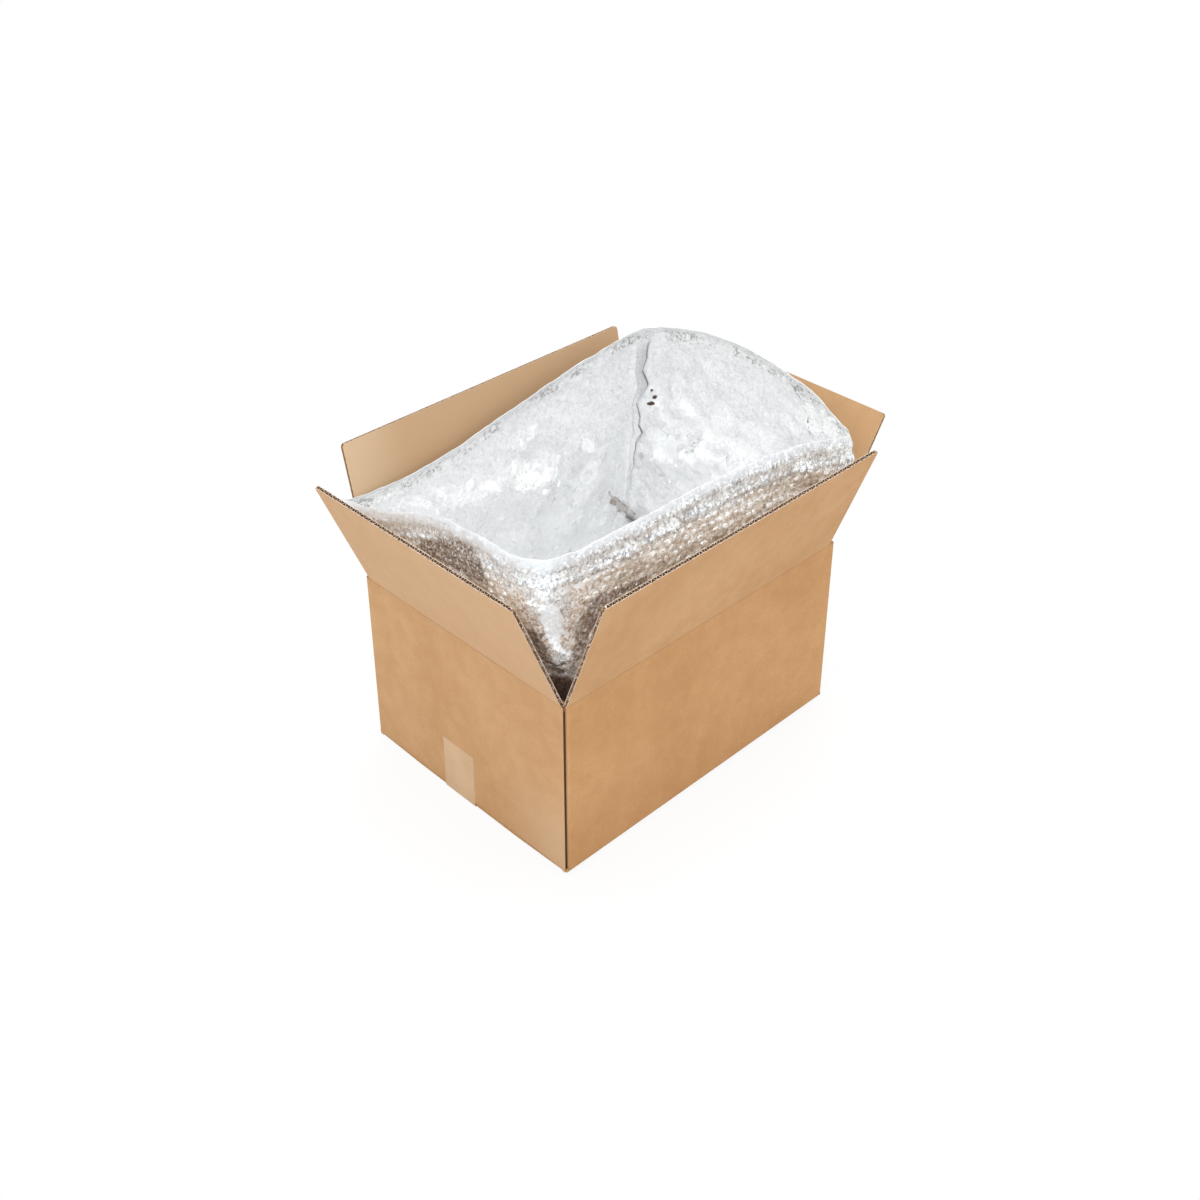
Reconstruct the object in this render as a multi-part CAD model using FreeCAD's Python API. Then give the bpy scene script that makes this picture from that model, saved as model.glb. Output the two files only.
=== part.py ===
"""Insulated shipping box: a regular slotted carton of corrugated board with a bubble-foil liner bag.

Units are millimetres. +X runs along the carton's long side, +Y along its short side and +Z up. The
origin is the centre of the underside. The carton stands open: four top flaps lean outwards and the
liner bag stands in it with its mouth above the walls.
"""
import FreeCAD, Part
import math
import os

Vector = FreeCAD.Vector
UP = Vector(0, 0, 1)

# Corrugated board
BOARD = 4.0                    # C-flute board, outside face to outside face
FACING = 0.5                   # each of the two flat sheets glued to the flutes
FLUTE_PITCH = 7.1              # one full wave of the fluted sheet
FLUTE_WEB = 0.7                # the fluted sheet's slope, measured along the board
CREST = 0.7                    # width of the narrow end of each flute channel
FOLD_RADIUS = 3.0              # outside radius of a scored fold

# Carton
INSIDE_LENGTH = 400.0
INSIDE_WIDTH = 300.0
CREASE_HEIGHT = 217.0          # the top flaps' score lines
BOTTOM_SAG = 2.5               # the closed bottom bellies down this far below its folds
BOTTOM_FLAT = 80.0             # it lies flat on the table this far to each side of its seam
LENGTH = INSIDE_LENGTH + 2 * BOARD
WIDTH = INSIDE_WIDTH + 2 * BOARD
BOTTOM_REACH = WIDTH / 2       # the long bottom flaps meet in the middle
FLAP_REACH = BOTTOM_REACH - 4  # the top flaps, which fall a little short of meeting
LONG_FLAP_INSET = 1.0          # how far the long bottom flaps' ends stand in from the short walls
SHORT_FLAP_INSET = 7.0         # slot beside each end of a short bottom flap
# The top slots were cut a little off register: what each flap leaves at its two ends, going
# anticlockwise from above
FRONT_SLOTS = (2.0, 10.0)
RIGHT_SLOTS = (6.0, 6.0)
BACK_SLOTS = (3.5, 6.0)
LEFT_SLOTS = (8.0, 5.5)
BOTTOM_SEAM_GAP = 1.5          # where the two outer bottom flaps meet
LAP_WIDTH = 35.0               # glue lap inside the near short wall
SCORE_GAP = 0.1                # board crushed away on each side of a score line
FLAP_CORNER_RADIUS = 4.0
SIDE_GROOVE = 1.6              # depth of the half flute left open along a cut edge

# How far each top flap leans out from upright, in degrees
LEAN_LEFT = 22.0
LEAN_FRONT = 20.0
LEAN_BACK = 12.4
LEAN_RIGHT = 33.0

# Bottom tape
TAPE_WIDTH = 49.0
TAPE_THICKNESS = 0.2
TAPE_RISE = 68.0               # how far it comes up each short wall
TAPE_OFFSET = 12.5             # it was laid off the centre of the seam, towards +Y

# Liner bag
FILM = 4.0                     # thickness of the bubble film
HEM_FILM = 2.2                 # the bubbles are pressed flat along the mouth
LINER_FLOOR = BOTTOM_SAG + 2 * BOARD   # it stands on the inner bottom flaps
LINER_HALF_LENGTH = 195.0      # clears the glue lap
LINER_HALF_WIDTH = 148.0
FLOOR_CORNER_RADIUS = 20.0
FLOOR_BEND = 7.0               # how far the film rounds in where it turns under
# The mouth is a soft quadrilateral. Its corners go anticlockwise from above, starting at -X -Y:
# (spread along X, spread along Y, corner radius), the spread being measured from the floor's corner.
MOUTH_CORNERS = ((22.0, -10.0, 44.0), (15.0, 26.0, 14.0), (23.0, 0.0, 40.0), (33.0, 20.0, 13.0))
MOUTH_TUCK = 8.0               # the film draws in this far at the mouth
# Heights of the mouth at each corner and at the quarter points of the side that follows it
MOUTH_HEIGHTS = (
    367.0, 374.0, 382.0, 376.0,
    357.0, 387.0, 400.0, 397.0,
    380.0, 361.0, 334.0, 313.0,
    317.0, 327.0, 352.0, 362.0,
)
SIDE_BOW = (6.0, 6.0, 3.0, -16.0)   # front, right, back, left: how far it bows out, or caves in
SPREAD_FOOT = 220.0            # height where the bag starts to spread
SPREAD_TOP = 322.0
SIDE_STEPS = 8                 # facets along a side, between its corners' rounds
CORNER_STEPS = 5               # facets round a corner
CORNER_TURN = 0.06             # share of a side's height curve that each corner's round takes up
BUCKLE = 1.6                   # height of the soft buckles in the film above the carton
LEVELS = (0.025, 0.2, 0.38, 0.56, 0.66, 0.76, 0.85, 0.94)   # shares of the way up to the mouth
SEAM_CORNER = 2                # the corner at +X +Y has a sealed fin inside
SEAM_FOOT = 100.0              # the fin stands proud from here up
SEAM_FULL = 150.0
SEAM_PROUD = 9.0


def save(shape, name):
    """Write one sub-part as a STEP file."""
    if not shape.isValid() or shape.ShapeType not in ("Solid", "Compound"):
        raise ValueError(name + " is not a valid solid")
    shape.exportStep("parts/" + name + ".step")
    print(name, shape.ShapeType, "volume", round(shape.Volume), "faces", len(shape.Faces))


def polygon(points):
    """Closed wire through corner points."""
    corners = [Vector(*point) for point in points]
    return Part.makePolygon(corners + corners[:1])


def block(low, high):
    """Box between two corners."""
    size = Vector(*high) - Vector(*low)
    return Part.makeBox(size.x, size.y, size.z, Vector(*low))


def face_with_holes(wires):
    """Flat face bounded by the outermost wire, with the others cut out of it."""
    return Part.makeFace(wires, "Part::FaceMakerBullseye")


def one_solid(shape):
    """The single solid inside a boolean result, with split faces joined again."""
    solids = shape.removeSplitter().Solids
    if len(solids) != 1:
        raise ValueError("expected one solid, got " + str(len(solids)))
    return solids[0]


def corner_relief(corner, inward_a, inward_b, along, radius):
    """What a quarter round takes off a square edge: a square less a quarter circle, swept along it."""
    corner, side_a, side_b = Vector(*corner), Vector(*inward_a), Vector(*inward_b)
    start = corner + side_a * radius
    end = corner + side_b * radius
    centre = start + side_b * radius
    middle = centre - (side_a + side_b) * (radius / math.sqrt(2))
    edges = [
        Part.LineSegment(corner, start).toShape(),
        Part.Arc(start, middle, end).toShape(),
        Part.LineSegment(end, corner).toShape(),
    ]
    return Part.Face(Part.Wire(edges)).extrude(Vector(*along))


# ---------------------------------------------------------------------------------------- carton

def wall_outline():
    """Outside of the four walls in plan, from the raw edge of the near short wall round to it.

    The long front wall turns the near corner as a glue lap, and the short wall stops one fold radius
    short of the front face, so its cut edge and half flute stay open to view."""
    half_x, half_y, r = LENGTH / 2, WIDTH / 2, FOLD_RADIUS
    lap_face = -half_x + BOARD
    raw_edge = -half_y + r
    edges = []

    def line(start, end):
        edges.append(Part.LineSegment(Vector(*start), Vector(*end)).toShape())

    def arc(start, centre, end):
        start, centre, end = Vector(*start), Vector(*centre), Vector(*end)
        outward = (start + end - centre * 2).normalize()
        edges.append(Part.Arc(start, centre + outward * r, end).toShape())

    line((-half_x, raw_edge), (-half_x, half_y - r))
    arc((-half_x, half_y - r), (-half_x + r, half_y - r), (-half_x + r, half_y))
    line((-half_x + r, half_y), (half_x - r, half_y))
    arc((half_x - r, half_y), (half_x - r, half_y - r), (half_x, half_y - r))
    line((half_x, half_y - r), (half_x, -half_y + r))
    arc((half_x, -half_y + r), (half_x - r, -half_y + r), (half_x - r, -half_y))
    line((half_x - r, -half_y), (lap_face + r, -half_y))
    arc((lap_face + r, -half_y), (lap_face + r, -half_y + r), (lap_face, raw_edge))
    groove_end = raw_edge + SIDE_GROOVE
    line((lap_face, raw_edge), (lap_face - FACING, raw_edge))
    line((lap_face - FACING, raw_edge), (lap_face - FACING, groove_end))
    line((lap_face - FACING, groove_end), (-half_x + FACING, groove_end))
    line((-half_x + FACING, groove_end), (-half_x + FACING, raw_edge))
    line((-half_x + FACING, raw_edge), (-half_x, raw_edge))
    return Part.Wire(edges)


def wall_opening():
    """Inside of the four walls in plan, with the step of the glue lap."""
    half_x, half_y = INSIDE_LENGTH / 2, INSIDE_WIDTH / 2
    lap_inside = -half_x + BOARD
    lap_end = -half_y + LAP_WIDTH
    return polygon([
        (lap_inside, -half_y), (half_x, -half_y), (half_x, half_y), (-half_x, half_y),
        (-half_x, lap_end), (lap_inside, lap_end),
    ])


def walls():
    plan = face_with_holes([wall_outline(), wall_opening()])
    plan.translate(UP * BOTTOM_SAG)
    return plan.extrude(UP * (CREASE_HEIGHT - SCORE_GAP - BOTTOM_SAG))


def outer_bottom_flap(side):
    """The long flap of the front (side -1) or back (side 1) wall, bellying down to the table."""
    outer_x = LENGTH / 2 - LONG_FLAP_INSET
    underside = [
        (-outer_x, side * WIDTH / 2, BOTTOM_SAG), (-outer_x, side * (WIDTH / 2 - FOLD_RADIUS), BOTTOM_SAG),
        (-outer_x, side * BOTTOM_FLAT, 0), (-outer_x, side * BOTTOM_SEAM_GAP / 2, 0),
    ]
    upper_side = [(x, y, z + BOARD) for x, y, z in reversed(underside)]
    return Part.Face(polygon(underside + upper_side)).extrude(Vector(2 * outer_x, 0, 0))


def inner_bottom_flap(side):
    """The short flap of the left (side -1) or right (side 1) wall, lying level on the outer two."""
    inner_y = WIDTH / 2 - SHORT_FLAP_INSET
    low_z = BOTTOM_SAG + BOARD
    near, far = sorted((side * (LENGTH / 2 - BOTTOM_REACH), side * (LENGTH / 2 - BOARD / 2)))
    return block((near, -inner_y, low_z), (far, inner_y, low_z + BOARD))


def bottom_fold_reliefs():
    """Rounds the outside of the four scored folds at the bottom."""
    outer_x = LENGTH / 2 - LONG_FLAP_INSET
    inner_y = WIDTH / 2 - SHORT_FLAP_INSET
    reliefs = []
    for side in (-1, 1):
        reliefs.append(corner_relief((-outer_x, side * WIDTH / 2, BOTTOM_SAG), (0, -side, 0), (0, 0, 1),
                                     (2 * outer_x, 0, 0), FOLD_RADIUS))
        reliefs.append(corner_relief((side * LENGTH / 2, -inner_y, BOTTOM_SAG), (-side, 0, 0), (0, 0, 1),
                                     (0, 2 * inner_y, 0), FOLD_RADIUS))
    return reliefs


def tape_bed():
    """The shallow bed that the tape is pressed into along the bottom seam."""
    low_y = TAPE_OFFSET - TAPE_WIDTH / 2
    return block((-LENGTH / 2, low_y, 0), (LENGTH / 2, low_y + TAPE_WIDTH, TAPE_THICKNESS))


def carton_body():
    """One folded sheet: walls, glue lap and closed bottom."""
    flaps = [flap(side) for flap in (outer_bottom_flap, inner_bottom_flap) for side in (-1, 1)]
    return one_solid(walls().multiFuse(flaps).cut(bottom_fold_reliefs() + [tape_bed()]))


def bottom_tape():
    """One strip along the seam and up both short walls; it bridges the fold under each of them."""
    low_y = TAPE_OFFSET - TAPE_WIDTH / 2
    outside = LENGTH / 2 + TAPE_THICKNESS
    inside = LENGTH / 2
    profile = polygon([
        (-outside, low_y, 0), (outside, low_y, 0), (outside, low_y, TAPE_RISE),
        (inside, low_y, TAPE_RISE), (inside, low_y, TAPE_THICKNESS),
        (-inside, low_y, TAPE_THICKNESS), (-inside, low_y, TAPE_RISE),
        (-outside, low_y, TAPE_RISE),
    ])
    return Part.Face(profile).extrude(Vector(0, TAPE_WIDTH, 0))


# ------------------------------------------------------------------------------------- top flaps

def flute_channels(width):
    """The open ends of the flutes: trapeziums in a row, every second one upside down."""
    half_pitch = FLUTE_PITCH / 2
    wide = half_pitch - FLUTE_WEB - CREST / 2
    narrow = CREST / 2
    count = int((width - 2 * SIDE_GROOVE - 2 * FLUTE_WEB - 2 * wide) / half_pitch) + 1
    first = -(count - 1) * half_pitch / 2
    channels = []
    for index in range(count):
        x = first + index * half_pitch
        outer, inner = (wide, narrow) if index % 2 == 0 else (narrow, wide)
        channels.append(polygon([
            (x - outer, FACING, 0), (x + outer, FACING, 0),
            (x + inner, BOARD - FACING, 0), (x - inner, BOARD - FACING, 0),
        ]))
    return channels


def board_section(width):
    """Section across the flutes, with a half flute left open along both cut edges."""
    half = width / 2
    outline = polygon([
        (-half, 0, 0), (half, 0, 0), (half, FACING, 0), (half - SIDE_GROOVE, FACING, 0),
        (half - SIDE_GROOVE / 2, BOARD - FACING, 0), (half, BOARD - FACING, 0),
        (half, BOARD, 0), (-half, BOARD, 0), (-half, BOARD - FACING, 0),
        (-half + SIDE_GROOVE / 2, BOARD - FACING, 0), (-half + SIDE_GROOVE, FACING, 0),
        (-half, FACING, 0),
    ])
    return face_with_holes([outline] + flute_channels(width))


def upright_flap(length, slots):
    """A flap standing on its score line, which is the X axis; its outside face is the XZ plane."""
    width = length - slots[0] - slots[1]
    section = board_section(width)
    section.translate(UP * SCORE_GAP)
    board = section.extrude(UP * (FLAP_REACH - SCORE_GAP))
    reliefs = [
        corner_relief((side * width / 2, -1, FLAP_REACH), (-side, 0, 0), (0, 0, -1),
                      (0, BOARD + 2, 0), FLAP_CORNER_RADIUS)
        for side in (-1, 1)
    ]
    flap = one_solid(board.cut(reliefs))
    flap.translate(Vector((slots[0] - slots[1]) / 2, 0, 0))
    return flap


def top_flap(length, slots, hinge, turn, lean):
    """A flap put on its wall: leant outwards by lean, then turned to face its side."""
    flap = upright_flap(length, slots)
    flap.rotate(Vector(0, 0, 0), Vector(1, 0, 0), lean)
    flap.rotate(Vector(0, 0, 0), UP, turn)
    flap.translate(Vector(*hinge))
    return flap


def top_flaps():
    half_x, half_y, z = LENGTH / 2, WIDTH / 2, CREASE_HEIGHT
    return {
        "flap_front": top_flap(LENGTH, FRONT_SLOTS, (0, -half_y, z), 0, LEAN_FRONT),
        "flap_right": top_flap(WIDTH, RIGHT_SLOTS, (half_x, 0, z), 90, LEAN_RIGHT),
        "flap_back": top_flap(LENGTH, BACK_SLOTS, (0, half_y, z), 180, LEAN_BACK),
        "flap_left": top_flap(WIDTH, LEFT_SLOTS, (-half_x, 0, z), 270, LEAN_LEFT),
    }


# ------------------------------------------------------------------------------------- liner bag

def smooth_step(value):
    """Rises from 0 to 1 with no corner at either end."""
    value = min(max(value, 0.0), 1.0)
    return value * value * (3 - 2 * value)


def mouth_height(turn):
    """Height of the mouth, turn being the number of sides passed; a Catmull-Rom curve."""
    place = 4 * turn
    index = math.floor(place)
    t = place - index
    a, b, c, d = (MOUTH_HEIGHTS[(index + step) % len(MOUTH_HEIGHTS)] for step in (-1, 0, 1, 2))
    return b + 0.5 * t * (c - a + t * (2 * a - 5 * b + 4 * c - d + t * (3 * (b - c) + d - a)))


def bag_corner(index, spread, inset):
    """Plan position and radius of one corner, spread being 0 at the floor and 1 at the mouth."""
    out_x, out_y, mouth_radius = MOUTH_CORNERS[index % 4]
    sign_x, sign_y = ((-1, -1), (1, -1), (1, 1), (-1, 1))[index % 4]
    place = Vector(sign_x * (LINER_HALF_LENGTH + out_x * spread - inset),
                   sign_y * (LINER_HALF_WIDTH + out_y * spread - inset))
    radius = FLOOR_CORNER_RADIUS + (mouth_radius - FLOOR_CORNER_RADIUS) * spread
    return place, radius - inset


def spread_at(height):
    return smooth_step((height - SPREAD_FOOT) / (SPREAD_TOP - SPREAD_FOOT))


def buckle(turn, rise):
    """Soft buckles of the film: two crossing waves round the bag."""
    lean = 9.0 * rise
    waves = math.sin(11 * math.pi * turn / 2 + lean) + math.sin(19 * math.pi * turn / 2 - lean)
    return BUCKLE * waves / 2


def corner_point(index, share, rise, inset, floor, proud=0.0):
    """Point on the round of a corner, share 0 being on the side before it and 1 on the one after."""
    turn = index + CORNER_TURN * (2 * share - 1)
    height = floor + rise * (mouth_height(turn) - floor)
    place, radius = bag_corner(index, spread_at(height), inset)
    centre = place - Vector(math.copysign(radius, place.x), math.copysign(radius, place.y))
    angle = math.pi / 2 * (index - 2 + share)
    out = Vector(math.cos(angle), math.sin(angle))
    return centre + out * (radius - proud) + UP * height


def side_point(side, along, rise, inset, floor):
    """Point on a side, along being 0 and 1 where its corners' rounds start."""
    turn = side + CORNER_TURN + (1 - 2 * CORNER_TURN) * along
    height = floor + rise * (mouth_height(turn) - floor)
    spread = spread_at(height)
    start, start_radius = bag_corner(side, spread, inset)
    end, end_radius = bag_corner(side + 1, spread, inset)
    run = (end - start).normalize()
    first = start + run * start_radius
    last = end - run * end_radius
    swell = SIDE_BOW[side] * (1.5 - rise) + buckle(turn, rise)
    bow = swell * spread * math.sin(math.pi * along)
    return first + (last - first) * along + run.cross(UP) * bow + UP * height


def seam_fin(rise, inset, floor):
    """The rounded corner with a sealed fin of film lying over it, seen from inside the bag."""
    height = floor + rise * (mouth_height(SEAM_CORNER) - floor)
    out = smooth_step((height - SEAM_FOOT) / (SEAM_FULL - SEAM_FOOT))
    shares = (0.0, 0.2, 0.4 + 0.1 * out, 0.6 - 0.22 * out, 0.8 - 0.05 * out, 1.0)
    prouds = (0.0, 0.0, 0.0, SEAM_PROUD * out, 0.0, 0.0)
    return [
        corner_point(SEAM_CORNER, share, rise, inset, floor, proud)
        for share, proud in zip(shares, prouds)
    ]


def skin_loop(rise, inset, floor, fin=False):
    """Corner points of one closed line round the bag, at a share of the way up to its mouth."""
    points = []
    for side in range(4):
        if fin and side == SEAM_CORNER:
            points += seam_fin(rise, inset, floor)
        else:
            points += [
                corner_point(side, step / CORNER_STEPS, rise, inset, floor)
                for step in range(CORNER_STEPS + 1)
            ]
        points += [
            side_point(side, step / SIDE_STEPS, rise, inset, floor)
            for step in range(1, SIDE_STEPS)
        ]
    return points


def bag_skin(inset, hem_inset, floor, fin=False):
    """Loops from floor to mouth for one face of the film."""
    loops = [skin_loop(0.0, inset + FLOOR_BEND, floor, fin)]
    loops += [skin_loop(rise, inset, floor, fin) for rise in LEVELS]
    loops.append(skin_loop(1.0, hem_inset + MOUTH_TUCK, floor, fin))
    return loops


def facets(low, high):
    """Flat triangles between two loops, as stiff crinkled film folds; the creases zigzag."""
    faces = []
    for index in range(len(low)):
        following = (index + 1) % len(low)
        a, b, c, d = low[index], low[following], high[following], high[index]
        triangles = ((a, b, c), (a, c, d)) if index % 2 else ((a, b, d), (b, c, d))
        faces += [Part.Face(polygon(triangle)) for triangle in triangles]
    return faces


def liner_bag():
    """The film bag as one closed solid: two skins, two floors and the rim of the mouth."""
    outer = bag_skin(0.0, 0.0, LINER_FLOOR)
    inner = bag_skin(FILM, HEM_FILM, LINER_FLOOR + FILM, fin=True)
    faces = [Part.Face(polygon(outer[0])), Part.Face(polygon(inner[0]))]
    for loops in (outer, inner, (outer[-1], inner[-1])):
        for low, high in zip(loops, loops[1:]):
            faces += facets(low, high)
    shell = Part.makeShell(faces)
    shell.sewShape()
    solid = Part.makeSolid(shell)
    if solid.Volume < 0:
        solid.reverse()
    return solid


def main():
    os.makedirs("parts", exist_ok=True)
    save(carton_body(), "carton_body")
    save(bottom_tape(), "bottom_tape")
    for name, flap in top_flaps().items():
        save(flap, name)
    save(liner_bag(), "liner_bag")


main()
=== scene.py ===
"""Looks for an insulated shipping box: a corrugated carton with a bubble-foil bag standing open in it.

Lengths in the shape functions are millimetres; each finished mesh is scaled to metres at the end.
"""
import math
import random

import bmesh
import bpy
from mathutils import Matrix, Vector, noise
from mathutils.bvhtree import BVHTree


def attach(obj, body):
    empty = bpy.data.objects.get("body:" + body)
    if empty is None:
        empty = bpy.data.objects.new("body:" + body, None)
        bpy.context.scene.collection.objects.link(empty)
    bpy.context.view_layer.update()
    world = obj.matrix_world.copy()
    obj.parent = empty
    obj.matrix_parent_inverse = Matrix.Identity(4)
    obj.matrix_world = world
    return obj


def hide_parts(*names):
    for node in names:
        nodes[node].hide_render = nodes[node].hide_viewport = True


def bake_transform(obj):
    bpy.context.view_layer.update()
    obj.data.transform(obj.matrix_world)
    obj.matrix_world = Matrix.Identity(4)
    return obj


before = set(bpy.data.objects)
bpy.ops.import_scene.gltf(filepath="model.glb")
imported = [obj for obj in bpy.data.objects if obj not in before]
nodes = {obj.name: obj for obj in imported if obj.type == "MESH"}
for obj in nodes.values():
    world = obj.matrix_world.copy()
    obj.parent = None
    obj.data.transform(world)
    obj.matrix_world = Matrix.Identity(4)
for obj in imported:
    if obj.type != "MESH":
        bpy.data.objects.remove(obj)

MM = 0.001
UP = Vector((0, 0, 1))
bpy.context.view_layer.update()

# Carton, as the board was cut
HALF_LENGTH, HALF_WIDTH, CREASE_HEIGHT = 204.0, 154.0, 217.0
BOARD, FACING, FLUTE_PITCH = 4.0, 0.5, 7.1
FLAP_REACH = 150.0
TAPE_EDGES = (-12.0, 37.0)
FLAPS = {   # node: (body, hinge point, turn, lean, ends along the hinge)
    "flap_front": ("front_flap", (0, -HALF_WIDTH, CREASE_HEIGHT), 0, 20.0, (-202.0, 194.0)),
    "flap_right": ("right_flap", (HALF_LENGTH, 0, CREASE_HEIGHT), 90, 33.0, (-148.0, 148.0)),
    "flap_back": ("back_flap", (0, HALF_WIDTH, CREASE_HEIGHT), 180, 12.4, (-200.5, 198.0)),
    "flap_left": ("left_flap", (-HALF_LENGTH, 0, CREASE_HEIGHT), 270, 22.0, (-146.0, 148.5)),
}

# Bag, as it was welded
FILM = 4.0                       # bubbles and all
SKIN = 1.0                       # the film between the bubbles
BAG_FLOOR = 10.5
FLOOR_BEND = 7.0
BAG_HALF_LENGTH, BAG_HALF_WIDTH = 195.0, 148.0
FLOOR_CORNER = 20.0
MOUTH_CORNERS = ((22, -10, 44), (15, 26, 14), (23, 0, 40), (33, 20, 13))   # spread in X, in Y, radius
MOUTH_HEIGHTS = (367, 374, 382, 376, 357, 387, 400, 398.5, 380, 361, 334, 313, 317, 327, 352, 362)
MOUTH_TUCK, TUCK_REACH = 8.0, 36.0   # the film draws in at the mouth, over this height
SIDE_BOW = (6, 6, 3, -16)
SPREAD_FOOT, SPREAD_TOP = 220, 322
CORNER_TURN = 0.06
SEAM_CORNER = 2
FIN_EDGE = (                     # height, place
    (118, 0.86), (150, 0.84), (168, 0.66), (187, 0.60), (199, 0.44), (212, 0.46), (222, 0.35), (231, 0.38),
    (243, 0.17), (253, 0.42), (262, 0.44), (281, 0.68), (293, 0.56), (304, 0.46), (323, 0.62), (340, 0.52),
    (372, 0.54),
)
FIN_PROUD = 3.4
HEM = 15.0                       # flat welded band along the mouth
BUBBLE_PITCH, BUBBLE_ACROSS, BUBBLE_HEIGHT = 10.5, 9.8, 2.3
BUBBLE_ROWS = 22
BUBBLE_FOOT = 206.0              # the bubbles below this are hidden between the bag and the board


# ---------------------------------------- bag shape

def smooth_step(value, low=0.0, high=1.0):
    value = min(max((value - low) / (high - low), 0.0), 1.0)
    return value * value * (3 - 2 * value)


def mouth_height(turn):
    """Height of the mouth, turn being the number of sides passed from the -X -Y corner.

    A smooth curve through the listed heights, four to a side.
    """
    place = 4 * turn
    index = math.floor(place)
    t = place - index
    a, b, c, d = (MOUTH_HEIGHTS[(index + step) % 16] for step in (-1, 0, 1, 2))
    return b + 0.5 * t * (c - a + t * (2 * a - 5 * b + 4 * c - d + t * (3 * (b - c) + d - a)))


def bag_corner(index, spread, depth):
    """One corner of the bag before it is creased: where its sides would meet, its signs and its radius."""
    out_x, out_y, mouth_radius = MOUTH_CORNERS[index % 4]
    sign = Vector(((-1, -1, 0), (1, -1, 0), (1, 1, 0), (-1, 1, 0))[index % 4])
    radius = FLOOR_CORNER + (mouth_radius - FLOOR_CORNER) * spread - depth
    reach = Vector((BAG_HALF_LENGTH + out_x * spread - depth, BAG_HALF_WIDTH + out_y * spread - depth, 0))
    return sign * reach, sign, radius


def bag_plan(turn, height, depth):
    """Point on the bag before it is creased, with its direction outwards."""
    spread = smooth_step(height, SPREAD_FOOT, SPREAD_TOP)
    below = max(mouth_height(turn) - height, 0.0)
    depth += MOUTH_TUCK * max(1 - below / TUCK_REACH, 0.0) ** 2
    nearest = round(turn)
    if abs(turn - nearest) <= CORNER_TURN:
        share = (turn - nearest) / (2 * CORNER_TURN) + 0.5
        corner, sign, radius = bag_corner(nearest, spread, depth)
        angle = math.pi / 2 * (nearest - 2 + share)
        out = Vector((math.cos(angle), math.sin(angle), 0))
        return corner - sign * radius + out * radius + UP * height, out
    side = math.floor(turn)
    along = (turn - side - CORNER_TURN) / (1 - 2 * CORNER_TURN)
    start, _, start_radius = bag_corner(side, spread, depth)
    end, _, end_radius = bag_corner(side + 1, spread, depth)
    run = (end - start).normalized()
    first, last = start + run * start_radius, end - run * end_radius
    out = run.cross(UP)
    rise = (height - BAG_FLOOR) / (mouth_height(turn) - BAG_FLOOR)
    bow = SIDE_BOW[side % 4] * (1.5 - rise) * spread * math.sin(math.pi * along) ** 1.3
    return first + (last - first) * along + out * bow + UP * height, out


BACK_WALL, WALL_DEPTH = 146, 40
FOLDS = (   # across the crease, spacing, height
    ((0.55, 0.80, 0.95), 92, 4.0),
    ((-0.75, 0.60, 0.70), 63, 3.0),
    ((0.90, -0.35, 1.20), 41, 1.9),
    ((-0.30, -0.95, 1.05), 27, 1.2),
    ((0.80, 0.70, -0.60), 17, 0.7),
)
BULGES = (   # middle, radius, how far the film stands in from the board
    ((198, 56, 242), 34, 10), ((198, 96, 214), 27, 8), ((198, 72, 282), 24, 5), ((198, -10, 258), 28, 7),
    ((198, 126, 150), 20, 7), ((198, 30, 190), 36, 8), ((38, 146, 226), 34, 10), ((122, 146, 196), 30, 9),
    ((-6, 146, 150), 46, 10), ((84, 146, 160), 34, 8), ((-110, 146, 190), 44, 7),
)


def crumple(place):
    """How far the film is creased outwards at a place: crossing folds with flat faces between them."""
    total = 0.0
    for across, spacing, height in FOLDS:
        phase = place.dot(Vector(across)) / spacing + 0.9 * noise.noise(place / (1.6 * spacing))
        total += height * (2 * abs(phase % 1.0 - 0.5) - 0.5)
    calm = 0.45 + 0.55 * smooth_step(noise.noise(place / 105), -0.35, 0.4)
    near, second = noise.voronoi(place / 24)[0][:2]
    return total * calm + 1.7 * (second - near) - 0.9


def bulge(place):
    """Blunt many-sided pyramids where the film stands in from the board."""
    total = 0.0
    for index, (middle, radius, size) in enumerate(BULGES):
        offset = place - Vector(middle)
        # Nothing beyond a bulge's reach, nor on the wall across from it
        near, far = sorted((abs(offset.x), abs(offset.y)))
        narrow, wide = sorted((WALL_DEPTH, 1.4 * radius))
        if near > narrow or far > wide or abs(offset.z) > 1.4 * radius:
            continue
        across = offset.x if middle[1] == BACK_WALL else offset.y
        reach = 0.0
        for edge in range(5):
            angle = 1.7 * index + edge * 2 * math.pi / 5 + 0.35 * math.sin(3.1 * index + 2.3 * edge)
            reach = max(reach, across * math.cos(angle) + offset.z * math.sin(angle))
        total += size * min(max(1.0 - reach / radius, 0.0), 0.72)
    return total


def fin_edge(height):
    """Where the sealed fin's ruffled free edge lies round the far corner: 0 at the +X wall, 1 at the +Y."""
    for (low, start), (high, end) in zip(FIN_EDGE, FIN_EDGE[1:]):
        if height <= high:
            return start + (end - start) * max(height - low, 0.0) / (high - low)
    return end


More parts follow.
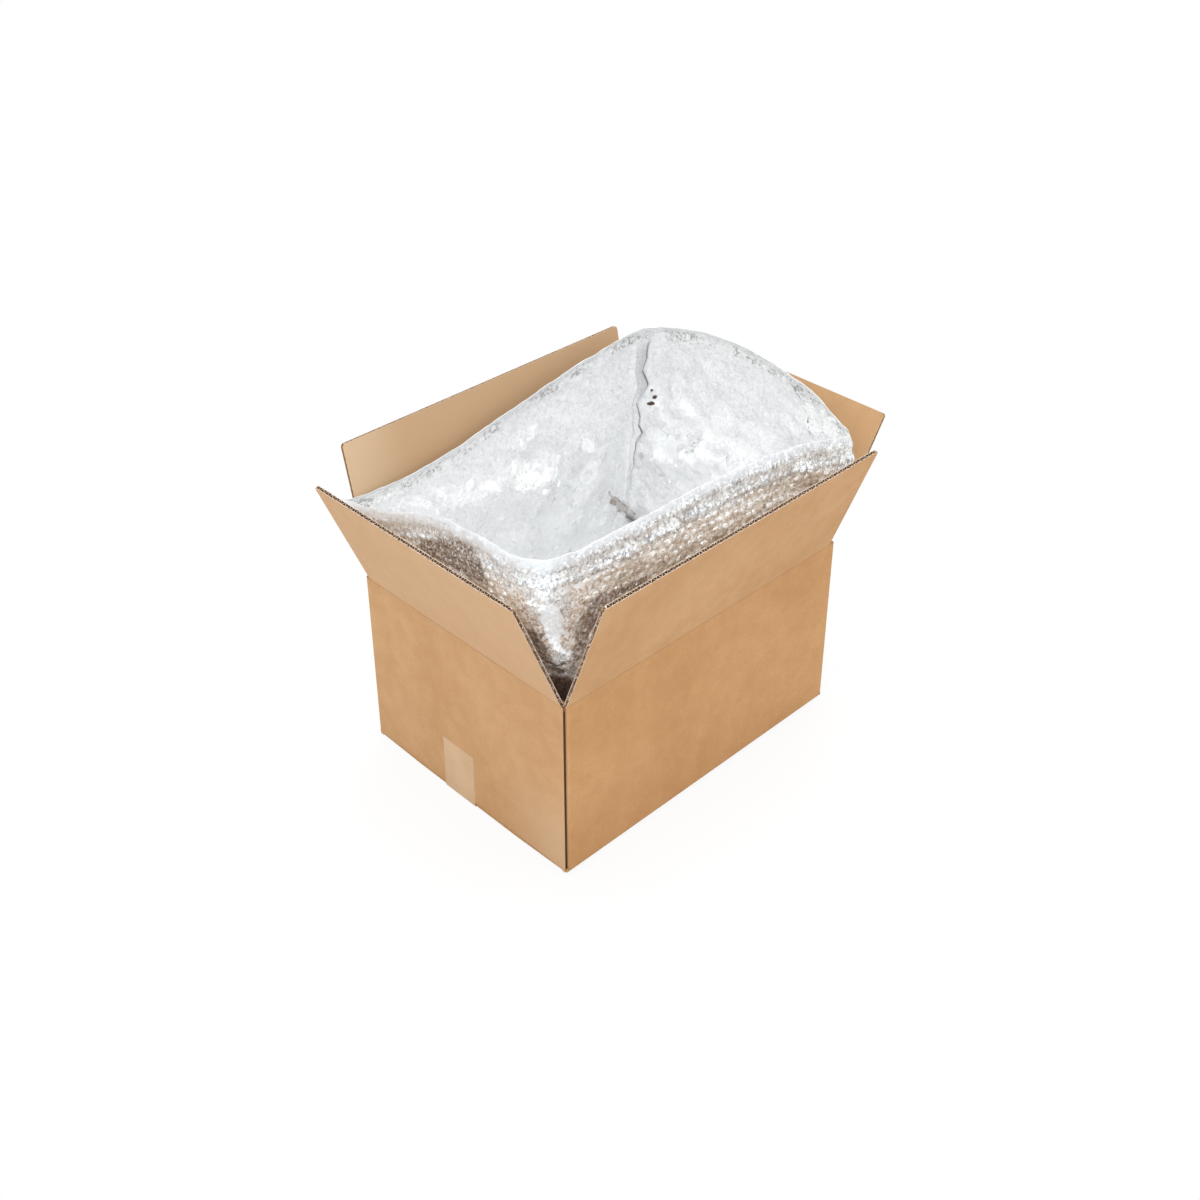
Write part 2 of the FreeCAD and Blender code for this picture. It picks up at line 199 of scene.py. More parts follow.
def fin(turn, height):
    """The sealed fin at the far corner: (turn moved round, how far it stands in, how much painted shade it
    takes).
    """
    share = (turn - SEAM_CORNER) / (2 * CORNER_TURN) + 0.5
    if not 0.0 < share < 1.0:
        return turn, 0.0, 0.0
    out = smooth_step(height, 116, 128) * (1 - smooth_step(height, 345, 372))
    edge = fin_edge(height)
    # The fin lies over the +X side, and its free edge is a step up to the middle of the corner
    foot, step = 0.42, 0.08
    if share < foot:
        moved, proud = share / foot * edge, 0.0
        seam_shade = 0.12 * smooth_step(share, 0.36, foot)
    elif share < 0.5:
        along = (share - foot) / step
        moved, proud = edge + 0.02 * along, FIN_PROUD * along ** 0.6
        seam_shade = 1.0
    else:
        along = (share - 0.5) / 0.5
        moved = edge + 0.02 + (0.98 - edge) * along
        ridge = 0.42
        proud = FIN_PROUD * (1 - smooth_step(along, 0.1, 0.8))
        proud += 0.9 * math.exp(-((along - ridge) / 0.05) ** 2)
        upper = smooth_step(height, 270, 310)
        seam_shade = (0.10 + 0.30 * upper) * (1 - smooth_step(along, 0.2, 0.5))
        seam_shade += 0.35 * math.exp(-((along - ridge) / 0.04) ** 2)
    moved = share + (moved - share) * out
    return SEAM_CORNER + (moved - 0.5) * 2 * CORNER_TURN, proud * out, seam_shade * out


def bag_point(turn, rise, depth, inside):
    """Point on one face of the creased film."""
    floor = BAG_FLOOR + (FILM if inside else 0.0)
    top = mouth_height(turn)
    height = floor + rise * (top - floor)
    proud = 0.0
    if inside:
        turn, proud, _ = fin(turn, height)
    place, out = bag_plan(turn, height, depth)
    skin, _ = bag_plan(turn, height, 0.0)
    below = top - height
    # Creases are shallow at the mouth, at the floor and round the corners
    give = 0.35 + 0.65 * smooth_step(below, 4, 34)
    give *= 0.45 + 0.55 * smooth_step(height, 40, 90)
    shift = crumple(skin) * give - bulge(skin)
    if below < 30:
        shift += 0.7 * noise.noise(skin / 7) * smooth_step(30 - below, 0, 24)
    shift *= 0.5 + 0.5 * smooth_step(abs(turn - round(turn)), 0.03, 0.16)
    if inside:
        shift += 6.0 * pinch(turn, height)
    else:
        shift *= smooth_step(height, 198, 214)
    # The board holds the film in up to the score lines
    limit = 0.4 + 0.06 * max(height - CREASE_HEIGHT - 2, 0.0)
    shift = min(shift, limit) - corner_hollow(turn, height)
    wave = 1.1 * noise.noise(Vector((turn * 14, 0, 0))) + 0.7 * noise.noise(Vector((turn * 37, 5, 0)))
    lift = wave * smooth_step(34 - below, 0, 30)
    return place + out * (shift - proud) + UP * lift


def pinch(turn, height):
    """The hollow under the foot of the fin."""
    return math.exp(-((turn - 1.995) / 0.035) ** 2 - ((height - 120) / 11) ** 2)


def corner_hollow(turn, height):
    """How far the film stands away from the carton's near corner, below the flaps' slot."""
    around = abs((turn + 2) % 4 - 2)
    return 13 * (1 - smooth_step(around, 0.03, 0.11)) * (1 - smooth_step(height, 226, 262))


def film_depth(below):
    """Depth of the film's outer face: the bubbles stand out in front of it, and stop at the hem."""
    return 0.5 + (FILM - SKIN - 0.5) * smooth_step(below, HEM - 5, HEM + 1)


def column_turns():
    """Where the bag's lines stand round it, closer together at the far corner."""
    turns = [CORNER_TURN]
    for side, (lines, round_lines) in enumerate(((92, 16), (74, 40), (92, 16), (74, 18))):
        first = side + CORNER_TURN
        turns += [first + (1 - 2 * CORNER_TURN) * (step + 1) / lines for step in range(lines)]
        turns += [side + 1 - CORNER_TURN + 2 * CORNER_TURN * (step + 1) / round_lines
                  for step in range(round_lines)]
    return turns


def film_rows():
    """Lines from the middle of the underside, up the outside, over the mouth and down to the floor."""
    rows = [("under", share) for share in (1.0, 0.6, 0.25, 0.06, 0.0)]
    rows += [("outside", 0.025 + 0.475 * step / 9) for step in range(9)]
    rows += [("outside", 0.5 + 0.5 * step / 58) for step in range(59)]
    rows += [("edge", share) for share in (0.25, 0.5, 0.75)]
    rows += [("inside", 1.0 - 0.975 * step / 112) for step in range(113)]
    rows += [("floor", share) for share in (0.0, 0.05, 0.11, 0.18, 0.26, 0.34, 0.42, 0.5, 0.58, 0.66,
                                            0.74, 0.82, 0.9, 0.96, 1.0)]
    return rows


def film_point(turn, row):
    """Point where one of the bag's lines round it crosses the line at a turn."""
    kind, value = row
    top = mouth_height(turn)
    if kind == "under":
        place, _ = bag_plan(turn, BAG_FLOOR, FLOOR_BEND)
        return Vector((place.x * (1 - value), place.y * (1 - value), BAG_FLOOR))
    if kind == "floor":
        place, _ = bag_plan(turn, BAG_FLOOR + FILM, FILM + FLOOR_BEND)
        place = Vector((place.x * (1 - value), place.y * (1 - value), BAG_FLOOR + FILM - 2.6))
        return place + UP * abs(0.8 * crumple(place)) * smooth_step(value, 0, 0.1)
    if kind == "outside":
        return bag_point(turn, value, film_depth((1 - value) * (top - BAG_FLOOR)), False)
    if kind == "inside":
        below = (1 - value) * (top - BAG_FLOOR - FILM)
        return bag_point(turn, value, film_depth(below) + SKIN, True)
    outer, inner = bag_point(turn, 1.0, 0.5, False), bag_point(turn, 1.0, 0.5 + SKIN, True)
    return outer.lerp(inner, value) + UP * 0.45 * math.sin(math.pi * value)


def liner_film(materials):
    """The film of the bag as one closed skin."""
    turns, rows = column_turns(), film_rows()
    bm = bmesh.new()
    bmesh.ops.create_grid(bm, x_segments=len(turns) - 1, y_segments=len(rows) - 1, size=0.5)
    below, seam_shade = bm.verts.layers.float.new("below"), bm.verts.layers.float.new("seam_shade")
    for vert in bm.verts:
        column = round((vert.co.x + 0.5) * (len(turns) - 1))
        row = round((vert.co.y + 0.5) * (len(rows) - 1))
        turn = turns[column % (len(turns) - 1)]
        vert.co = film_point(turn, rows[row])
        vert[below] = (mouth_height(turn) - vert.co.z) * MM
        if rows[row][0] == "inside":
            # Painted shade of the fin's free edge and of the hollow under it
            vert[seam_shade] = fin(turn, vert.co.z)[2] + pinch(turn, vert.co.z)
        vert.index = row
    outer_rows = sum(kind in ("under", "outside") for kind, _ in rows)
    for face in bm.faces:
        face.material_index = 0 if max(vert.index for vert in face.verts) < outer_rows else 1
        face.smooth = True
    bmesh.ops.remove_doubles(bm, verts=bm.verts, dist=0.001)
    return finished(bm, "liner_film", materials)


def finished(bm, name, materials):
    """A mesh object in metres from a bmesh in millimetres, its faces pointing outwards."""
    bmesh.ops.scale(bm, vec=(MM, MM, MM), verts=bm.verts)
    bmesh.ops.recalc_face_normals(bm, faces=bm.faces)
    mesh = bpy.data.meshes.new(name)
    bm.to_mesh(mesh)
    bm.free()
    for material in materials:
        mesh.materials.append(material)
    thing = bpy.data.objects.new(name, mesh)
    bpy.context.scene.collection.objects.link(thing)
    return thing


def bubble_places():
    """Where the bubbles stand on the outside, in staggered rows that follow the mouth."""
    steps = 600
    lengths = [0.0]
    for step in range(steps):
        a, b = (bag_plan(4.0 * s / steps, 300, 0)[0] for s in (step, step + 1))
        lengths.append(lengths[-1] + (b - a).length)
    count = round(lengths[-1] / BUBBLE_PITCH)
    for row in range(BUBBLE_ROWS):
        below = HEM + 11.0 + row * BUBBLE_PITCH * 0.866
        step = 0
        for index in range(count):
            target = (index + 0.5 * (row % 2)) * lengths[-1] / count
            while lengths[step + 1] < target:
                step += 1
            share = (target - lengths[step]) / (lengths[step + 1] - lengths[step])
            turn = 4.0 * (step + share) / steps
            height = mouth_height(turn) - below
            # None on the smooth film low down at the near corner
            if height > BUBBLE_FOOT and (height > 338 or abs((turn + 2) % 4 - 2) > 0.08):
                yield turn, below


def outside_frame(turn, below):
    """Place and facing of the film's outer face at a distance below the mouth."""
    def at(turn, below):
        rise = 1 - below / (mouth_height(turn) - BAG_FLOOR)
        return bag_point(turn % 4, rise, film_depth(below), False)
    across = at(turn + 0.008, below) - at(turn - 0.008, below)
    down = at(turn, below + 3) - at(turn, below - 3)
    return at(turn, below), down.cross(across).normalized()


def bubble_dome():
    """One bubble, half a flattened ball standing up from its origin."""
    dome = bmesh.new()
    bmesh.ops.create_uvsphere(dome, u_segments=8, v_segments=8, radius=BUBBLE_ACROSS / 2)
    bmesh.ops.bisect_plane(dome, geom=dome.verts[:] + dome.edges[:] + dome.faces[:], dist=0.01,
                           plane_co=(0, 0, 0.01), plane_no=(0, 0, 1), clear_inner=True)
    for name in ("glint", "below"):
        dome.verts.layers.float.new(name)
    for vert in dome.verts:
        vert.co.z *= 2 * BUBBLE_HEIGHT / BUBBLE_ACROSS
    for face in dome.faces:
        face.smooth = True
    pattern = bpy.data.meshes.new("bubble")
    dome.to_mesh(pattern)
    dome.free()
    return pattern


def jitter(dice, spread):
    return Vector([dice.gauss(0, spread) for _ in range(3)])


def liner_bubbles(film, material):
    """The air bubbles on the outside of the bag, their rims kept behind its inner face."""
    corners = [vert.co / MM for vert in film.data.vertices]
    inside = [face.vertices for face in film.data.polygons if face.material_index == 1]
    inner = BVHTree.FromPolygons(corners, inside)
    dice = random.Random(11)
    pattern = bubble_dome()
    bm = bmesh.new()
    for turn, below in bubble_places():
        place, facing = outside_frame(turn, below)
        tilt = jitter(dice, 0.08)
        size = dice.uniform(0.8, 1.02)
        drift = jitter(dice, 0.5)
        drift -= facing * drift.dot(facing)
        matrix = (Matrix.Translation(place + drift - facing * 0.1)
                  @ (facing + tilt).to_track_quat("Z", "Y").to_matrix().to_4x4()
                  @ Matrix.Diagonal((size, size * dice.uniform(0.8, 1.0), size * dice.uniform(0.45, 1.0), 1)))
        one = pattern.copy()
        one.transform(matrix)
        # The bubbles' upper sides, where the glint is painted
        upward = [smooth_step((vert.co - place).normalized().z, 0.45, 0.75) for vert in one.vertices]
        for vert in one.vertices:
            near, way, _, _ = inner.find_nearest(vert.co)
            vert.co -= way * max((vert.co - near).dot(way) + 0.3, 0.0)
        one.attributes["glint"].data.foreach_set("value", upward)
        one.attributes["below"].data.foreach_set("value", [below * MM] * len(one.vertices))
        bm.from_mesh(one)
        bpy.data.meshes.remove(one)
    bpy.data.meshes.remove(pattern)
    return finished(bm, "liner_bubbles", [material])


# ---------------------------------------- creases

def fold_strip(name, hinge, turn, lean, ends, material):
    """The inner facing of the board where it bends over a flap's score line."""
    # Three rows lie flat on the wall, six turn with the bend and three lie flat on the flap
    rows, flat, spacing, gap = 12, 3, 2.2, 0.6
    bm = bmesh.new()
    bmesh.ops.create_grid(bm, x_segments=60, y_segments=rows, size=0.5)
    place = Matrix.Translation(hinge) @ Matrix.Rotation(math.radians(turn), 4, "Z")
    for vert in bm.verts:
        row = round((vert.co.y + 0.5) * rows)
        share = min(max((row - flat) / (rows - 2 * flat), 0.0), 1.0)
        along = (min(row - flat, 0) + max(row - rows + flat, 0)) * spacing
        proud = 0.12 + 0.35 * math.sin(math.pi * row / rows) ** 2
        across = ends[0] + gap + (vert.co.x + 0.5) * (ends[1] - ends[0] - 2 * gap)
        bend = Matrix.Rotation(math.radians(lean) * share, 4, "X")
        vert.co = place @ (bend @ Vector((across, BOARD + proud, along)))
    for face in bm.faces:
        face.smooth = True
    bmesh.ops.solidify(bm, geom=bm.faces[:], thickness=0.25)
    return finished(bm, name, [material])


# ---------------------------------------- finishes

class Finish:
    """A material's nodes, added one at a time."""

    def __init__(self, name, **base):
        self.material = bpy.data.materials.new(name)
        self.material.use_nodes = True
        self.tree = self.material.node_tree
        self.tree.nodes.clear()
        self.output = self.add("ShaderNodeOutputMaterial")
        self.surface = self.add("ShaderNodeBsdfPrincipled", **base)
        self.link(self.surface.outputs[0], self.output.inputs["Surface"])
        self.place = self.add("ShaderNodeTexCoord").outputs["Object"]

    def add(self, kind, settings=None, *values, **named):
        """A new node, its sockets filled in order or by name."""
        node = self.tree.nodes.new(kind)
        for key, value in (settings or {}).items():
            setattr(node, key, value)
        for value, socket in zip(values, node.inputs):
            self.put(value, socket)
        for key, value in named.items():
            self.put(value, node.inputs[key.replace("_", " ")])
        return node

    def link(self, output, socket):
        self.tree.links.new(output, socket)

    def put(self, value, socket):
        if isinstance(value, bpy.types.NodeSocket):
            self.link(value, socket)
        elif socket.type == "RGBA":
            socket.default_value = (*value, 1)
        else:
            socket.default_value = value

    def give(self, name, value):
        """Set one of the surface's own properties."""
        self.put(value, self.surface.inputs[name])

    def math(self, operation, first, second=0.5):
        return self.add("ShaderNodeMath", {"operation": operation}, first, second).outputs[0]

    def chain(self, operation, values):
        total = values[0]
        for value in values[1:]:
            total = self.math(operation, total, value)
        return total

    def plus(self, *values):
        return self.chain("ADD", values)

    def times(self, *values):
        return self.chain("MULTIPLY", values)

    def most(self, *values):
        return self.chain("MAXIMUM", values)

    def minus(self, first, second):
        return self.math("SUBTRACT", first, second)

    def span(self, value, low, high, to_low=0, to_high=1):
        """to_low where value is low and below, to_high where it is high and above."""
        kind = {"interpolation_type": "SMOOTHSTEP"}
        return self.add("ShaderNodeMapRange", kind, value, low, high, to_low, to_high).outputs[0]

    def span_mm(self, value, low, high, to_low=0, to_high=1):
        """A span between two lengths in millimetres."""
        return self.span(value, low * MM, high * MM, to_low, to_high)

    def between(self, share, low, high):
        """One number where share is 0 and another where it is 1."""
        return self.span(share, 0, 1, low, high)

    def band(self, value, low, high, edge):
        """1 between two lengths in millimetres, 0 outside, with soft edges."""
        rise = self.span_mm(value, low - edge, low + edge)
        fall = self.span_mm(value, high - edge, high + edge, 1, 0)
        return self.times(rise, fall)

    def noise(self, scale, detail=2, roughness=0.5, place=None):
        node = self.add("ShaderNodeTexNoise", Vector=place or self.place, Scale=scale, Detail=detail,
                        Roughness=roughness)
        return node.outputs[0]

    def cells(self, scale, feature="F1", place=None, randomness=1):
        node = self.add("ShaderNodeTexVoronoi", {"feature": feature}, Vector=place or self.place, Scale=scale,
                        Randomness=randomness)
        return node.outputs["Distance"]

    def turned(self, location=(0, 0, 0), rotation=(0, 0, 0), scale=(1, 1, 1), kind="POINT"):
        node = self.add("ShaderNodeMapping", {"vector_type": kind}, Vector=self.place, Location=location,
                        Rotation=rotation, Scale=scale)
        return node.outputs[0]

    def axes(self, place=None):
        return self.add("ShaderNodeSeparateXYZ", Vector=place or self.place).outputs

    def blend(self, share, first, second, kind="MIX"):
        """One colour where share is 0 and another where it is 1."""
        node = self.add("ShaderNodeMix", {"data_type": "RGBA", "blend_type": kind})
        for value, index in ((share, 0), (first, 6), (second, 7)):
            self.put(value, node.inputs[index])
        return node.outputs[2]

    def bump(self, height, distance, strength=1):
        return self.add("ShaderNodeBump", Strength=strength, Distance=distance, Height=height).outputs[0]

    def vector(self, operation, first, second=(0, 0, 0)):
        node = self.add("ShaderNodeVectorMath", {"operation": operation}, first, second)
        return node.outputs["Value" if operation in ("LENGTH", "DISTANCE", "DOT_PRODUCT") else "Vector"]

    def warped(self, size, reach):
        """The object's own place, pushed about by up to reach over lengths of about size, both in mm."""
        node = self.add("ShaderNodeTexNoise", Vector=self.place, Scale=1 / (size * MM), Detail=2)
        push = self.vector("SUBTRACT", node.outputs["Color"], (0.5, 0.5, 0.5))
        return self.vector("ADD", self.place, self.vector("MULTIPLY", push, (2 * reach * MM,) * 3))

    def facets(self, size, tilt, place):
        """Height of crumpled faces about size across (mm), each flat and tilted its own way."""
        node = self.add("ShaderNodeTexVoronoi", Vector=place, Scale=1 / (size * MM))
        way = self.vector("SUBTRACT", node.outputs["Color"], (0.5, 0.5, 0.5))
        offset = self.vector("SUBTRACT", place, node.outputs["Position"])
        return self.times(self.vector("DOT_PRODUCT", way, offset), self.times(tilt, 2))

    def stroke(self, start, end, width, place, soft):
        """1 along a line between two points, 0 away from it; all in millimetres."""
        start, run = Vector(start) * MM, (Vector(end) - Vector(start)) * MM
        offset = self.vector("SUBTRACT", place, start)
        along = self.math("DIVIDE", self.vector("DOT_PRODUCT", offset, run), run.length_squared)
        along.node.use_clamp = True
        away = self.vector("DISTANCE", offset, self.vector("MULTIPLY", along, run))
        return self.span_mm(away, (0.5 - soft) * width, (0.5 + soft) * width, 1, 0)

    def strokes(self, lines, size, reach, soft=0.15, cell=0):
        """1 along each of a list of lines with wandering edges, 0 away from them.

        Given a cell size, the edges follow whole cells and have sharp corners.
        """
        place = self.warped(size, reach)
        if cell:
            place = self.add("ShaderNodeTexVoronoi", Vector=place, Scale=1 / (cell * MM)).outputs["Position"]
        return self.most(*[self.stroke(*line, place, soft) for line in lines])

    def attribute(self, name):
        return self.add("ShaderNodeAttribute", {"attribute_name": name}).outputs["Fac"]

    def two_reliefs(self, share, first, second):
        """Give the surface one relief where share is 0 and another where it is 1."""
        mix = self.add("ShaderNodeMix", {"data_type": "VECTOR"})
        self.link(share, mix.inputs[0])
        self.link(self.bump(first, 1), mix.inputs[4])
        self.link(self.bump(second, 1), mix.inputs[5])
        self.give("Normal", mix.outputs[1])


KRAFT_LIGHT = (0.492, 0.294, 0.146)
KRAFT_DARK = (0.425, 0.237, 0.106)
KRAFT_PALE = (0.525, 0.35, 0.208)
SCORE_BROWN = (0.4, 0.215, 0.095)
# Painted shade seen inside open flutes
FLUTE_SHADE = (0.115, 0.062, 0.034)
CUT_EDGE = (0.64, 0.52, 0.42)
PALER = {   # share of pale kraft outside and inside; the inner liner is paler, and the shares that differ from flap to flap are painted light, paler where more light falls on a flap
    "flap_left": (0.5, 0.6), "flap_front": (0, 0.6), "flap_back": (0, 0.8), "flap_right": (0, 0.25),
}


def kraft_paper(finish):
    """Colour and tooth of kraft facing: cloudy tone, short fibres and dark flecks."""
    cloud = finish.noise(7, 3, 0.55)
    mottle = finish.noise(55, 4, 0.6)
    tone = finish.plus(finish.span(cloud, 0.3, 0.7, 0.1, 0.75), finish.span(mottle, 0.3, 0.7, -0.2, 0.2))
    paint = finish.blend(tone, KRAFT_DARK, KRAFT_LIGHT)
    fibre = finish.noise(620, 3, 0.65)
    paler = finish.blend(1, paint, (1.1, 1.08, 1.06), "MULTIPLY")
    paint = finish.blend(finish.span(fibre, 0.38, 0.62), paint, paler)
    flecks = finish.noise(380, 2, 0.5, place=finish.turned(scale=(1, 1, 0.35)))
    return finish.blend(finish.span(flecks, 0.66, 0.74, 0, 0.35), paint, (0.36, 0.19, 0.085)), fibre


def flutes(finish, along):
    """The waves of the fluted sheet, which show faintly through the facing."""
    return finish.math("SINE", finish.times(along, 2 * math.pi / (FLUTE_PITCH * MM)))


def wall_board():
    """Kraft board of the walls and the bottom."""
    finish = Finish("kraft_wall", Roughness=0.78, Specular_IOR_Level=0.28)
    paint, fibre = kraft_paper(finish)
    x, y, z = finish.axes()
    # Painted shade: the front wall is painted darker and more saturated than the left, as less light falls on
    # it
    front = finish.span_mm(y, 0.5 - HALF_WIDTH, 1.5 - HALF_WIDTH, 1, 0)
    paint = finish.blend(front, paint, finish.blend(1, paint, (0.98, 0.93, 0.84), "MULTIPLY"))
    # Rubbed paler low down beside the glued joint
    rubbed = finish.times(finish.span_mm(x, 0.5 - HALF_LENGTH, 1 - HALF_LENGTH, 0.7, 0),
                          finish.span_mm(y, -150, -40, 1, 0),
                          finish.span_mm(z, 40, 130, 1, 0))
    paint = finish.blend(rubbed, paint, KRAFT_PALE)
    # Score lines under the flaps, the second one a crushed line beside the first; their darker brown is
    # partly crushed board and partly painted shade in the grooves
    wander = finish.times(finish.minus(finish.noise(6, 1), 0.5), 2 * MM)
    drop = finish.minus(CREASE_HEIGHT * MM, finish.plus(z, wander))
    left = finish.span_mm(x, 2 - HALF_LENGTH, 3 - HALF_LENGTH, 1, 0.25)
    score = finish.times(finish.band(drop, -1, 0.8, 0.6), left)
    second = finish.times(finish.band(drop, 4.4, 5, 0.5), left)
    paint = finish.blend(finish.times(score, 0.75), paint, SCORE_BROWN)
    paint = finish.blend(finish.times(second, 0.5), paint, (0.43, 0.24, 0.11))
    # The open half flute along the glued joint, painted dark as the shade inside it
    half_flute = finish.times(finish.band(x, 0.55 - HALF_LENGTH, 3.55 - HALF_LENGTH, 0.02),
                              finish.band(y, 2.8 - HALF_WIDTH, 4.8 - HALF_WIDTH, 0.05))
    paint = finish.blend(half_flute, paint, FLUTE_SHADE)
    finish.give("Base Color", paint)
    ripple = finish.plus(finish.times(flutes(finish, finish.plus(x, y)), 0.1), fibre)
    finish.give("Normal", finish.bump(finish.minus(ripple, finish.times(second, 1.6)), 0.12 * MM, 0.7))
    return finish.material


def flap_board(name, hinge, turn, lean, ends):
    """Kraft board of one top flap, with its open flutes painted dark as their shade and its cut edges pale.
    """
    finish = Finish("kraft_" + name, Roughness=0.78, Specular_IOR_Level=0.28)
    paint, fibre = kraft_paper(finish)
    turns = (math.radians(lean), 0, math.radians(turn))
    x, y, z = finish.axes(finish.turned([c * MM for c in hinge], turns, kind="TEXTURE"))
    paint = finish.blend(finish.span_mm(y, 3.2, 3.9, *PALER[name]), paint, KRAFT_PALE)
    # Painted sheen: the back flap's inside is paler towards its end on the -X side, where more light falls on
    # it
    if name == "flap_back":
        painted_sheen = finish.times(finish.span_mm(x, 110, 200, 0, 0.9), finish.span_mm(y, 3.2, 3.9))
        paint = finish.blend(painted_sheen, paint, (0.64, 0.465, 0.3))
    # Darker at the flap's foot: partly crushed board at the score line, partly painted shade
    paint = finish.blend(finish.span_mm(z, 1.2, 2.6, 0.45, 0), paint, SCORE_BROWN)
    # Cut edges of the facings, flecked with the painted shade of open flutes
    top = finish.span_mm(z, FLAP_REACH - 0.12, FLAP_REACH - 0.06)
    middle, half = sum(ends) / 2, (ends[1] - ends[0]) / 2
    from_middle = finish.math("ABSOLUTE", finish.minus(x, middle * MM))
    side = finish.span_mm(from_middle, half - 0.1, half - 0.05)
    speck = finish.noise(640, 2, 0.6)
    cut_edge_with_flute_shade = finish.blend(finish.span(speck, 0.36, 0.44), FLUTE_SHADE, CUT_EDGE)
    paint = finish.blend(finish.most(top, side), paint, cut_edge_with_flute_shade)
    # The fluted sheet between them, painted dark as the shade in its open channels
    inner = finish.band(y, FACING + 0.03, BOARD - FACING - 0.03, 0.02)
    deep = finish.span_mm(z, FLAP_REACH - 1.6, FLAP_REACH - 0.1)
    medium = finish.blend(finish.times(deep, top), FLUTE_SHADE, (0.4, 0.27, 0.18))
    paint = finish.blend(inner, paint, finish.blend(finish.span(speck, 0.54, 0.6), medium, CUT_EDGE))
    finish.give("Base Color", paint)
    ripple = finish.plus(finish.times(flutes(finish, x), 0.1), fibre)
    finish.give("Normal", finish.bump(ripple, 0.12 * MM, 0.7))
    return finish.material


def fold_paper():
    """Kraft facing where it is bent: painted a little darker, partly crushed board and partly the shade in
    the bend, and creased along the bend.
    """
    finish = Finish("kraft_fold", Roughness=0.8)
    paint, fibre = kraft_paper(finish)
    finish.give("Base Color", finish.blend(0.35, paint, (0.44, 0.25, 0.12)))
    finish.give("Normal", finish.bump(fibre, 0.15 * MM, 0.8))
    return finish.material


def paper_tape():
    """Kraft tape: paler and smoother than the board, with the flutes showing through."""
    finish = Finish("paper_tape", Roughness=0.5, Specular_IOR_Level=0.4)
    y = finish.axes()[1]
    fibre = finish.noise(900, 2, 0.6)
    cloud = finish.span(finish.noise(38, 3, 0.5), 0.3, 0.7)
    paint = finish.blend(cloud, (0.49, 0.312, 0.172), (0.535, 0.35, 0.203))
    paint = finish.blend(finish.span(fibre, 0.4, 0.65, 0, 0.4), paint, (0.59, 0.41, 0.255))
    rim = finish.minus(1, finish.band(y, TAPE_EDGES[0] + 0.4, TAPE_EDGES[1] - 0.4, 0.35))
    paint = finish.blend(finish.times(rim, 0.4), paint, (0.5, 0.31, 0.165))
    finish.give("Base Color", paint)
    pleat = finish.noise(24, 2, 0.6, place=finish.turned(scale=(1, 3, 0.6)))
    height = finish.plus(finish.times(flutes(finish, y), 0.15), finish.times(pleat, 1.4))
    finish.give("Normal", finish.bump(height, 0.35 * MM, 0.6))
    return finish.material


# Marks on the film, each a list of lines: (start, end, width)
GLOSS_PATCHES = (   # flat glossy faces, inside the bag
    ((198, 66, 232), (198, 47, 262), 24), ((198, 46, 240), (198, 60, 222), 20),
    ((198, 104, 236), (198, 88, 200), 15), ((198, 97, 257), (198, 50, 280), 9),
    ((198, 8, 262), (198, -26, 262), 15), ((198, 124, 168), (198, 122, 140), 14),
    ((12, 146, 244), (44, 146, 238), 22), ((40, 146, 232), (42, 146, 204), 16),
    ((60, 146, 240), (64, 146, 226), 10), ((112, 146, 262), (122, 146, 244), 12),
    ((-70, 146, 262), (-50, 146, 272), 9), ((60, 146, 130), (86, 146, 138), 9),
    ((206, -76, 388), (208, -92, 376), 7), ((211, -98, 358), (207, -113, 342), 17),
    ((206, -122, 362), (205, -140, 352), 16), ((207, -128, 344), (196, -156, 354), 13),
)
GREY_STROKES = (    # short creases, painted with grey shade
    ((113, 146, 222), (119, 146, 206), 5), ((119, 146, 204), (131, 146, 162), 2.4),
    ((84, 146, 150), (92, 146, 150), 4), ((198, 92, 296), (198, 70, 296), 2),
    ((205, -72, 390), (211, -96, 356), 2.6), ((211, -96, 356), (206, -108, 330), 2.2),
    ((182, 138, 200), (180, 140, 167), 2.4), ((180, 140, 167), (177, 142, 156), 3),
    ((177, 142, 156), (176, 144, 142), 3), ((176, 144, 142), (188, 138, 124), 2.6),
)
BACK_FOLDS = (      # long soft folds beside the fin, on the back wall, painted with grey shade
    ((171, 141, 268), (156, 143, 180), 3), ((156, 143, 180), (150, 143, 150), 3.4),
    ((180, 140, 330), (171, 141, 268), 2.2),
)
SCRATCHES = (       # long pale rubs low on the back wall
    ((-140, 156, 300), (-96, 149, 258), 2.2), ((-118, 152, 276), (-84, 146, 238), 1.8),
    ((-66, 142, 244), (-4, 137, 172), 2.4), ((-40, 140, 240), (8, 137, 186), 1.8),
    ((-112, 151, 268), (-60, 142, 262), 1.6),
)
FOOT_HOLLOW = (     # painted shade in the film's hollow under the fin
    ((150, 143, 173), (157, 144, 161), 3), ((158, 144, 158), (168, 144, 147), 9.5),
    ((168, 144, 146), (178, 142, 136), 11), ((178, 142, 136), (190, 137, 127), 4),
)
